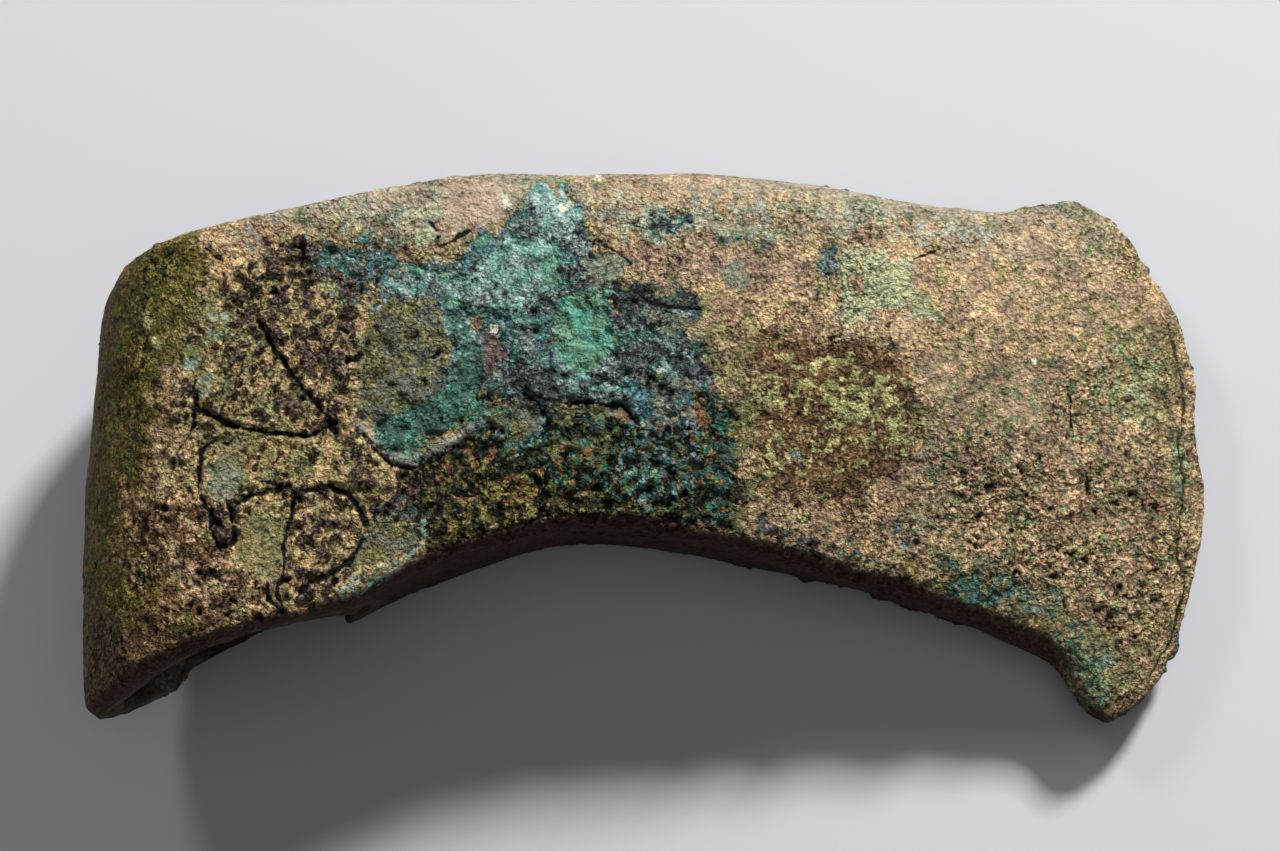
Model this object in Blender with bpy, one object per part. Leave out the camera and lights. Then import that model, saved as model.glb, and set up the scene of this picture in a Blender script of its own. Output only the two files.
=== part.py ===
"""A cast bronze shaft-hole axe head, lying on its side as it rests when loose.

The head is first shaped upright in its own frame: X runs from the poll to the cutting edge, Y runs up
along the haft, from the hollow belly to the arched back, and Z is across the blade. It is then laid on
its far side, where it rests on the socket and on the middle of the blade. Lengths are in metres.
"""

import math

import bmesh
import bpy
from mathutils import Matrix, Vector, noise

# Shaft hole, which is an oval that narrows towards the back
SHAFT_LENGTH = 0.0285
SHAFT_WIDTH = 0.024
SHAFT_TAPER = 0.90
SHAFT_LEAN = math.radians(4.5)
POLL_WALL = 0.0045
SIDE_WALL = 0.0060

# Outline of the head, seen from the side. The blade's length is counted from the shaft hole
BLADE_LENGTH = 0.1070
HEAD_LENGTH = POLL_WALL + SHAFT_LENGTH + BLADE_LENGTH
HEAD_HEIGHT = 0.0665

# Thickness of the blade behind the socket, and the places of the last three as shares of the run from
# the shoulder to the bevel. The shoulder stands this many poll walls behind the shaft hole
SHOULDER_THICKNESS = 0.0315
WAIST_THICKNESS = 0.0275
CHEEK_THICKNESS = 0.0215
TAPER_THICKNESS = 0.0115
SHOULDER_WALLS = 2
WAIST_PLACE = 0.25
CHEEK_PLACE = 0.55
TAPER_PLACE = 0.86

# How far the faces bulge between back and belly, and the most that may be of half the thickness
FACE_CAMBER = 0.0010
CAMBER_LIMIT = 0.15

# Blunt bevel along the cutting edge
EDGE_BEVEL = 0.0028
BEVEL_THICKNESS = 0.0050
EDGE_THICKNESS = 0.0018

# Rounding between the faces and the back, and between the faces and the belly
RIM_ROUNDING = 0.0028
BACK_ROUNDING = 0.0085
BELLY_ROUNDING = 0.0042
ROUNDING_LIMIT = 0.9

# The socket's upper rim is flattened by this much
RIM_TRIM = 0.0006

# The broken place in the socket's lower rim, on the side that lies down, is bitten out by a rough lens
# whose middle lies below the rim
BREAK_PLACE = 0.0265
BREAK_LENGTH = 0.0440
BREAK_HEIGHT = 0.0078
BREAK_SINK = 0.0030
BREAK_DEPTH = 0.0220
BREAK_ROUGHNESS = 0.10
BREAK_GRAIN = 2.5

# Worn and corroded surface, which is even where it faces up more than this, and lowest at the edge
RIM_UPRIGHT = 0.35
RIM_FLAT = 0.75
LEAST_WEAR = 0.3
SWELL_SIZE = 0.020
SWELL_HEIGHT = 0.0005
LUMP_SIZE = 0.0065
LUMP_HEIGHT = 0.00028
FLAT_SPOT = 0.00015

# Outline points, as shares of the head's length and of its height above the toe
RIM_SHARES = (
    (0.076, 0.884),
    (0.250, 0.972),
)
POLL_SHARES = (
    (0.014, 0.004),
    (0.006, 0.016),
    (0.002, 0.038),
    (-0.001, 0.115),
    (-0.002, 0.225),
    (-0.002, 0.420),
    (0.003, 0.560),
    (0.009, 0.690),
    (0.013, 0.770),
    (0.022, 0.820),
    (0.030, 0.857),
)
BACK_SHARES = (
    (0.030, 0.857),
    *RIM_SHARES,
    (0.330, 1.018),
    (0.460, 1.028),
    (0.540, 1.032),
    (0.640, 1.017),
    (0.740, 0.983),
    (0.815, 0.969),
    (0.852, 0.981),
    (0.886, 0.992),
)
BELLY_SHARES = (
    (0.014, 0.004),
    (0.108, 0.116),
    (0.190, 0.171),
    (0.236, 0.196),
    (0.275, 0.241),
    (0.330, 0.293),
    (0.408, 0.339),
    (0.452, 0.352),
    (0.540, 0.328),
    (0.664, 0.264),
    (0.790, 0.179),
    (0.856, 0.109),
    (0.888, 0.026),
    (0.908, 0.000),
)
EDGE_SHARES = (
    (0.908, 0.000),
    (0.936, 0.030),
    (0.955, 0.072),
    (0.967, 0.120),
    (0.987, 0.265),
    (0.999, 0.415),
    (0.994, 0.590),
    (0.979, 0.760),
    (0.944, 0.885),
    (0.924, 0.942),
    (0.886, 0.992),
)
# Chips in the cutting edge: height above the toe, half width and depth, as shares of the head's height
CHIP_SHARES = (
    (0.062, 0.016, 0.006),
    (0.530, 0.055, 0.013),
    (0.838, 0.020, 0.009),
)

STATIONS = 62
NOSE_STATIONS = 11
STATION_START = 0.35
FACE_STEPS = 18
CORNER_STEPS = 4
CROWN_STEPS = 3
SHAFT_SIDES = 40
SHAFT_OVERRUN = 0.010
BREAK_STEPS = 3
LOWEST_REST = -0.7
SHARP_ANGLE = math.radians(35)
MERGE = 1e-6
BREAK_SEED = Vector((1.3, 4.1, 0.7))
SWELL_SEED = Vector((3.1, 0.0, 0.0))
LUMP_SEED = Vector((0.0, 7.7, 0.0))

BRONZE_COLOUR = (0.30, 0.24, 0.16, 1.0)
BRONZE_ROUGHNESS = 0.75
BRONZE_METALLIC = 0.15


def clear_scene():
    """Empties the scene."""
    for obj in list(bpy.data.objects):
        bpy.data.objects.remove(obj)


def scaled(line):
    """Outline points in metres."""
    return [Vector((x * HEAD_LENGTH, y * HEAD_HEIGHT)) for x, y in line]


def smooth_curve(points, share):
    """The point at a share of a smooth curve through the points, by length of its chords."""
    chords = [(b - a).length for a, b in zip(points, points[1:])]
    target = min(max(share, 0.0), 1.0) * sum(chords)
    i = 0
    while i < len(chords) - 1 and target > chords[i]:
        target -= chords[i]
        i += 1
    a, b = points[i], points[i + 1]
    before = points[i - 1] if i > 0 else a + (a - b)
    after = points[i + 2] if i + 2 < len(points) else b + (b - a)
    start = (b - before) * chords[i] / ((b - a).length + (a - before).length)
    end = (after - a) * chords[i] / ((after - b).length + (b - a).length)
    t = target / chords[i]
    return (
        a * (2 * t**3 - 3 * t**2 + 1)
        + start * (t**3 - 2 * t**2 + t)
        + b * (3 * t**2 - 2 * t**3)
        + end * (t**3 - t**2)
    )


def chipped(point):
    """The cutting edge's point, drawn back where the edge is chipped."""
    depth = 0.0
    for height, half_width, cut in CHIP_SHARES:
        away = (point.y / HEAD_HEIGHT - height) / half_width
        depth += cut * HEAD_HEIGHT * math.exp(-away * away)
    return point - Vector((depth, 0.0))


def side_point(u, v):
    """The point of the outline's middle plane at u from poll to edge and v from belly to back."""
    poll, back, belly, edge = map(scaled, (POLL_SHARES, BACK_SHARES, BELLY_SHARES, EDGE_SHARES))
    across = smooth_curve(belly, u).lerp(smooth_curve(back, u), v)
    along = smooth_curve(poll, v).lerp(chipped(smooth_curve(edge, v)), u)
    corners = belly[0].lerp(back[0], v).lerp(belly[-1].lerp(back[-1], v), u)
    return across + along - corners


def socket_centre():
    """Distance of the shaft hole's centre from the poll."""
    return POLL_WALL + SHAFT_LENGTH / 2


def half_thickness(distance):
    """Half the head's thickness at a distance from the poll."""
    centre = socket_centre()
    socket = SHAFT_WIDTH / 2 + SIDE_WALL
    if distance <= centre:
        return socket * math.sqrt(max(0.0, 1 - ((centre - distance) / centre) ** 2))
    bevel = HEAD_LENGTH - EDGE_BEVEL
    if distance >= bevel:
        share = min((distance - bevel) / EDGE_BEVEL, 1.0)
        return (BEVEL_THICKNESS + (EDGE_THICKNESS - BEVEL_THICKNESS) * share) / 2
    shoulder = centre + SHAFT_LENGTH / 2 + SHOULDER_WALLS * POLL_WALL
    run = bevel - shoulder
    profile = [
        Vector((0.0, socket)),
        Vector((centre, socket)),
        Vector((shoulder, SHOULDER_THICKNESS / 2)),
        Vector((shoulder + WAIST_PLACE * run, WAIST_THICKNESS / 2)),
        Vector((shoulder + CHEEK_PLACE * run, CHEEK_THICKNESS / 2)),
        Vector((shoulder + TAPER_PLACE * run, TAPER_THICKNESS / 2)),
        Vector((bevel, BEVEL_THICKNESS / 2)),
    ]
    i = max(k for k in range(len(profile) - 1) if profile[k].x <= distance)
    return height_on(profile, i, distance)


def height_on(profile, i, x):
    """The height at x on the piece from point i to i + 1 of a smooth profile."""
    a, b = profile[i], profile[i + 1]
    before = profile[i - 1]
    after = profile[i + 2] if i + 2 < len(profile) else b + (b - a)
    run = b.x - a.x
    start = run * (b.y - before.y) / (b.x - before.x)
    end = run * (after.y - a.y) / (after.x - a.x)
    t = (x - a.x) / run
    return (
        a.y * (2 * t**3 - 3 * t**2 + 1)
        + start * (t**3 - 2 * t**2 + t)
        + b.y * (3 * t**2 - 2 * t**3)
        + end * (t**3 - t**2)
    )


def ramp(value, start, end):
    """A smooth step from 0 at start to 1 at end."""
    t = min(max((value - start) / (end - start), 0.0), 1.0)
    return t * t * (3 - 2 * t)


def on_blade(distance):
    """A smooth step from 0 beside the shaft hole to 1 on the blade."""
    start = socket_centre() + SHAFT_LENGTH / 2
    return ramp(distance, start, start + SHAFT_LENGTH)


def section(u):
    """Half of the closed section at u, as (height above belly, z), from the belly's middle to the back's."""
    distance = u * HEAD_LENGTH
    height = (side_point(u, 1) - side_point(u, 0)).length
    half = half_thickness(distance)
    camber = min(FACE_CAMBER * on_blade(distance), CAMBER_LIMIT * half)
    brow = half - camber
    most = ROUNDING_LIMIT * brow
    belly = min(RIM_ROUNDING + (BELLY_ROUNDING - RIM_ROUNDING) * on_blade(distance), most)
    back = min(RIM_ROUNDING + (BACK_ROUNDING - RIM_ROUNDING) * on_blade(distance), most)
    points = [(0.0, (brow - belly) * i / CROWN_STEPS) for i in range(CROWN_STEPS)]
    for i in range(CORNER_STEPS):
        turn = math.pi / 2 * i / CORNER_STEPS
        points.append((belly * (1 - math.cos(turn)), brow - belly + belly * math.sin(turn)))
    face = height - belly - back
    for i in range(FACE_STEPS + 1):
        t = i / FACE_STEPS
        points.append((belly + face * t, brow + camber * (1 - (2 * t - 1) ** 2)))
    for i in range(1, CORNER_STEPS + 1):
        turn = math.pi / 2 * i / CORNER_STEPS
        points.append((height - back + back * math.sin(turn), brow - back + back * math.cos(turn)))
    points += [(height, (brow - back) * i / CROWN_STEPS) for i in range(CROWN_STEPS - 1, -1, -1)]
    return [(y / height, z) for y, z in points]


def station_shares():
    """Places of the sections, closer together on the round poll and near the edge."""
    nose_end = socket_centre() / HEAD_LENGTH
    nose = [nose_end * (1 - math.cos(math.pi / 2 * i / NOSE_STATIONS)) for i in range(NOSE_STATIONS)]
    blade = STATIONS - NOSE_STATIONS
    turns = [STATION_START + (1 - STATION_START) * i / blade for i in range(blade + 1)]
    run = [math.sin(math.pi / 2 * turn) for turn in turns]
    return nose + [nose_end + (1 - nose_end) * (s - run[0]) / (run[-1] - run[0]) for s in run]


def blade_solid():
    """The head without its shaft hole: sections joined from poll to edge."""
    bm = bmesh.new()
    loops = []
    for u in station_shares():
        half = section(u)
        last = len(half) - 1
        loop = []
        for v, z in half:
            point = side_point(u, v)
            loop.append(bm.verts.new((point.x, point.y, z)))
        for v, z in reversed(half[1:last]):
            point = side_point(u, v)
            loop.append(bm.verts.new((point.x, point.y, -z)))
        loops.append(loop)
    for near, far in zip(loops, loops[1:]):
        for i in range(len(near)):
            j = (i + 1) % len(near)
            bm.faces.new((near[i], near[j], far[j], far[i]))
    edge = loops[-1]
    count = len(edge)
    middle = count // 2
    bm.faces.new((edge[0], edge[1], edge[-1]))
    for i in range(1, middle - 1):
        bm.faces.new((edge[i], edge[i + 1], edge[count - i - 1], edge[count - i]))
    bm.faces.new((edge[middle - 1], edge[middle], edge[middle + 1]))
    bmesh.ops.remove_doubles(bm, verts=bm.verts, dist=MERGE)
    bmesh.ops.dissolve_degenerate(bm, edges=bm.edges, dist=MERGE)
    bmesh.ops.recalc_face_normals(bm, faces=bm.faces)
    return bm


def on_socket_rim(vertex):
    """How far a vertex is off the socket's flat rims, from 0 on them to 1."""
    along = socket_centre() + SHAFT_LENGTH
    upright = abs(vertex.normal.y)
    near = min(max((along - vertex.co.x) / SHAFT_LENGTH, 0.0), 1.0)
    flat = min(max((upright - RIM_UPRIGHT) / (RIM_FLAT - RIM_UPRIGHT), 0.0), 1.0)
    return 1 - near * flat


def wear_surface(bm):
    """Swells and lumps of the corroded casting, left out on the rims and small at the edge."""
    bm.normal_update()
    moves = []
    for vertex in bm.verts:
        swell = SWELL_HEIGHT * noise.noise(vertex.co / SWELL_SIZE + SWELL_SEED)
        lump = LUMP_HEIGHT * noise.noise(vertex.co / LUMP_SIZE + LUMP_SEED)
        thin = min(1.0, half_thickness(vertex.co.x) / BEVEL_THICKNESS)
        moves.append(vertex.normal * (swell + lump) * on_socket_rim(vertex) * max(LEAST_WEAR, thin))
    for vertex, move in zip(bm.verts, moves):
        vertex.co += move


def rim_plane():
    """A point on the upper rim's flat and the direction that it faces."""
    start, end = scaled(RIM_SHARES)
    along = (end - start).normalized()
    facing = Vector((-along.y, along.x, 0.0))
    return Vector((start.x, start.y, 0.0)) - facing * RIM_TRIM, facing


def trim(bm, point, facing):
    """Cuts off what lies beyond a plane, and closes the cut with a flat face."""
    made = bmesh.ops.bisect_plane(
        bm,
        geom=list(bm.verts) + list(bm.edges) + list(bm.faces),
        plane_co=point,
        plane_no=facing,
        clear_outer=True,
        dist=MERGE,
    )
    rim = [g for g in made["geom_cut"] if isinstance(g, bmesh.types.BMEdge)]
    bmesh.ops.edgeloop_fill(bm, edges=rim)


def as_object(name, bm):
    """A named object from a bmesh."""
    mesh = bpy.data.meshes.new(name)
    bm.to_mesh(mesh)
    bm.free()
    obj = bpy.data.objects.new(name, mesh)
    bpy.context.scene.collection.objects.link(obj)
    return obj


def as_cutter(obj):
    """Marks an object as a cutter, which isn't part of the axe head."""
    obj.hide_render = True
    obj.display_type = "WIRE"
    return obj


def shaft_axis():
    """A point on the shaft hole's axis at the belly's level, and the axis's direction."""
    foot = Vector((socket_centre(), 0.0, 0.0))
    direction = Vector((math.sin(SHAFT_LEAN), math.cos(SHAFT_LEAN), 0.0))
    return foot, direction


def shaft_cutter():
    """The tapered oval that the haft fills."""
    foot, direction = shaft_axis()
    bm = bmesh.new()
    length = HEAD_HEIGHT + 2 * SHAFT_OVERRUN
    rings = []
    for along, size in ((-SHAFT_OVERRUN, 1.0), (length - SHAFT_OVERRUN, SHAFT_TAPER)):
        ring = []
        for i in range(SHAFT_SIDES):
            turn = 2 * math.pi * i / SHAFT_SIDES
            x = size * SHAFT_LENGTH / 2 * math.cos(turn)
            z = size * SHAFT_WIDTH / 2 * math.sin(turn)
            ring.append(bm.verts.new(foot + direction * along + Vector((x, 0.0, z))))
        rings.append(ring)
    for i in range(SHAFT_SIDES):
        j = (i + 1) % SHAFT_SIDES
        bm.faces.new((rings[0][i], rings[0][j], rings[1][j], rings[1][i]))
    for ring in rings:
        bm.faces.new(ring)
    bmesh.ops.recalc_face_normals(bm, faces=bm.faces)
    return as_cutter(as_object("shaft_cutter", bm))


def break_cutter():
    """A rough lens along the lower rim that bites the broken place out of its far wall."""
    belly = scaled(BELLY_SHARES)
    start, end = (
        smooth_curve(belly, (BREAK_PLACE + side * BREAK_LENGTH / 2) / HEAD_LENGTH)
        for side in (-1, 1)
    )
    middle = (start + end) / 2
    lean = Matrix.Rotation(math.atan2(end.y - start.y, end.x - start.x), 3, "Z")
    far_wall = Vector((middle.x, middle.y, -SHAFT_WIDTH / 2 - SIDE_WALL / 2))
    far_wall -= lean @ Vector((0.0, BREAK_SINK, 0.0))
    bm = bmesh.new()
    bmesh.ops.create_icosphere(bm, subdivisions=BREAK_STEPS, radius=1.0)
    for vertex in bm.verts:
        rough = 1 + BREAK_ROUGHNESS * noise.noise(vertex.co * BREAK_GRAIN + BREAK_SEED)
        size = Vector((BREAK_LENGTH / 2, BREAK_HEIGHT, BREAK_DEPTH / 2))
        vertex.co = far_wall + lean @ (vertex.co * size) * rough
    return as_cutter(as_object("break_cutter", bm))


def bronze():
    """Corroded bronze."""
    material = bpy.data.materials.new("corroded_bronze")
    material.use_nodes = True
    shader = material.node_tree.nodes["Principled BSDF"]
    shader.inputs["Base Color"].default_value = BRONZE_COLOUR
    shader.inputs["Roughness"].default_value = BRONZE_ROUGHNESS
    shader.inputs["Metallic"].default_value = BRONZE_METALLIC
    material.diffuse_color = BRONZE_COLOUR
    return material


def cut(obj, cutter):
    """Cuts the cutter out of the object for good, and removes the cutter."""
    modifier = obj.modifiers.new("cut", "BOOLEAN")
    modifier.operation = "DIFFERENCE"
    modifier.solver = "EXACT"
    modifier.object = cutter
    bpy.context.view_layer.update()
    evaluated = obj.evaluated_get(bpy.context.evaluated_depsgraph_get())
    mesh = bpy.data.meshes.new_from_object(evaluated)
    obj.modifiers.clear()
    obj.data = mesh
    bpy.data.objects.remove(cutter)


def centre_of_mass(bm):
    """The solid's centre of mass, from the tetrahedra between its triangles and the origin."""
    total, moment = 0.0, Vector()
    for a, b, c in (tuple(v.co for v in face.verts) for face in bm.faces):
        volume = a.dot(b.cross(c)) / 6
        total += volume
        moment += volume * (a + b + c) / 4
    return moment / total


def resting_turn(bm):
    """The rotation that lays the solid on the hull face under its centre of mass, on its far side."""
    centre = centre_of_mass(bm)
    hull = bm.copy()
    made = bmesh.ops.convex_hull(hull, input=hull.verts)
    best, lowest = None, LOWEST_REST
    for face in (g for g in made["geom"] if isinstance(g, bmesh.types.BMFace)):
        face.normal_update()
        normal = face.normal
        if normal.z > lowest:
            continue
        foot = centre + normal * (face.verts[0].co - centre).dot(normal)
        corners = [v.co for v in face.verts]
        sides = [
            (b - a).cross(foot - a).dot(normal)
            for a, b in zip(corners, corners[1:] + corners[:1])
        ]
        if min(sides) >= 0:
            best, lowest = normal.copy(), normal.z
    hull.free()
    return best.rotation_difference(Vector((0, 0, -1))).to_matrix().to_4x4()


def lay_down(obj):
    """Lays the head on its side, with a small flat where it touches, and its base at Z = 0."""
    bm = bmesh.new()
    bm.from_mesh(obj.data)
    bmesh.ops.triangulate(bm, faces=bm.faces)
    bm.transform(resting_turn(bm))
    floor = min(v.co.z for v in bm.verts) + FLAT_SPOT
    trim(bm, Vector((0, 0, floor)), Vector((0, 0, -1)))
    low = Vector([min(v.co[i] for v in bm.verts) for i in range(3)])
    high = Vector([max(v.co[i] for v in bm.verts) for i in range(3)])
    middle = (low + high) / 2
    bm.transform(Matrix.Translation((-middle.x, -middle.y, -low.z)))
    bmesh.ops.recalc_face_normals(bm, faces=bm.faces)
    bm.to_mesh(obj.data)
    bm.free()


def axe_head():
    """The whole axe head, one solid."""
    bm = blade_solid()
    wear_surface(bm)
    trim(bm, *rim_plane())
    head = as_object("axe_head", bm)
    cut(head, shaft_cutter())
    cut(head, break_cutter())
    lay_down(head)
    head.data.shade_smooth()
    head.data.set_sharp_from_angle(angle=SHARP_ANGLE)
    head.data.materials.clear()
    head.data.materials.append(bronze())
    return head


clear_scene()
axe_head()
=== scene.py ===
"""Looks of a cast bronze shaft-hole axe head: its corrosion crust, cracks, flaked patches and colours."""

import math
from itertools import product

import bpy
import numpy as np
from mathutils import Matrix, Vector, kdtree


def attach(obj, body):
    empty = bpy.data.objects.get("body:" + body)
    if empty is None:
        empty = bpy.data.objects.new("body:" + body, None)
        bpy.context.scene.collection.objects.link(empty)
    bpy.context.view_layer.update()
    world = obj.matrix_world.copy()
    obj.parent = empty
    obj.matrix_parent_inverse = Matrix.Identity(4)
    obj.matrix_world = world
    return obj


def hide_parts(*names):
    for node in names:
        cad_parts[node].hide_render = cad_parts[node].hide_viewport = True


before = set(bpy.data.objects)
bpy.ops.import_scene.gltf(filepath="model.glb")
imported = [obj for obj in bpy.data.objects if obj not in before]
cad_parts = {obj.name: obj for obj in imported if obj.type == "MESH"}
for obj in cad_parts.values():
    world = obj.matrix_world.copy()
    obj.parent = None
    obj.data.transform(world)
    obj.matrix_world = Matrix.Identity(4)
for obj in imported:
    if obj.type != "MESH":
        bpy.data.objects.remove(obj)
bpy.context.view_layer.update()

# The photograph's camera, in metres and in the frame of the lying head
IMAGE_WIDTH = 1280
IMAGE_HEIGHT = 851
SENSOR = 36.0
LENS = 111.9
CAMERA_DISTANCE = 0.50
CAMERA_FOCUS = Vector((-0.00060, 0.00284, 0.01333))
CAMERA_BACK = Vector((0.10637, -0.17393, 0.97900)).normalized()
CAMERA_UP = Vector((0.01687, 0.98476, 0.17312)).normalized()

# Lamps: name, place in metres, side in metres and power in watts. Then the room's light and the floor.
LAMPS = [
    ("key", (0.60, 1.00, 0.74), 0.20, 44.0),
    ("side", (-0.62, 0.92, 0.80), 0.26, 5.0),
    ("fill", (0.20, -0.10, 1.20), 0.90, 2.4),
]
ROOM_LIGHT = 0.09
FLOOR_HALF = 3.0
FLOOR_TONE = (170, 170, 174)

# The mesh
MM = 0.001
VOXEL = 0.30 * MM
SMOOTHING_ROUNDS = 6
TRIANGLES = 196000

# The relief's parts in mm, heights first and then depths
SWELL_HEIGHT = 0.12
CRUMB_HEIGHT = 0.17
GRAIN_HEIGHT = 0.20
NODULE_HEIGHT = 0.72
LUMP_HEIGHT = 0.26
LEDGE_HEIGHT = 0.70
RIM_HEIGHT = 0.22
CREASE_DEPTH = 0.30
CRATER_DEPTH = 0.50
# Radii in mm of the small grains, and of the pits at their mouth and at their floor
GRAIN_RADIUS = 0.70
PIT_RADIUS = 0.66
PIT_FLOOR = 0.20
# The most that the relief cuts and stands out, and the relief that the material sees as full, in mm
DEEPEST = 0.75
HIGHEST = 0.65
RELIEF_SPAN = 0.32
# The lowest part of the head, which rests on the floor, and how far it may rise; then how far the
# grains' places are warped
REST_ZONE = 0.30 * MM
REST_GIVE = 0.05 * MM
WARP_REACH = 0.46 * MM

# Noise: the word that codes are kept in, the largest ten-bit number, how far apart in the lattice
# seeds lie, the gain that brings noise to about -1 to 1, and the strength that a finer layer keeps
WORD = 0xFFFFFFFF
TEN_BITS = 1023
NOISE_STRIDE = 3.71
GRAIN_STRIDE = 5.13
NOISE_GAIN = 1.7
LAYER_LOSS = 0.55

# Noises of the mesh: size in mm of the lumps, layers and seed
NOISES = {
    "sway_u": (3.6, 1, 11), "shake_u": (1.5, 1, 12), "sway_v": (3.6, 1, 13), "shake_v": (1.5, 1, 14),
    "ragged": (1.2, 3, 15), "ragged_wide": (3.0, 2, 17),
    "line_u": (1.6, 1, 31), "line_v": (1.6, 1, 32), "pinch": (1.2, 1, 33),
    "swell": (5.0, 2, 41), "coarse": (1.7, 2, 43), "fine": (0.85, 1, 46), "finest": (0.55, 1, 47),
    "rough_zone": (7.0, 2, 49), "clump": (4.0, 2, 61), "darkened": (2.4, 2, 67),
    "warp_x": (0.9, 1, 62), "warp_y": (0.9, 1, 63), "warp_z": (0.9, 1, 64),
    "flake": (2.6, 3, 81), "chip": (1.1, 2, 84), "crease": (3.4, 2, 91), "crease_zone": (7.0, 1, 95),
}
# Scattered grains: size in mm of the lattice's cells, seed, and the share of cells that hold one
GRAINS = {
    "grain": (1.25, 51, 0.7), "pit": (2.8, 55, 0.5), "dent": (1.9, 57, 0.55),
    "nodule": (1.45, 65, 0.85), "small_nodule": (1.05, 66, 0.75),
}

# Fields: their reach in pixels, the first seed and the slope of the flakes and of the hidden patches,
# and how far spots and lines wander
FIELD_REACH = 20
FLAKE_SEED = 20
FLAKE_SLOPE = 18
HIDDEN_SEED = 70
HIDDEN_SLOPE = 8
SPOT_WANDER = 0.35
LINE_WANDER = 2.2

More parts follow.
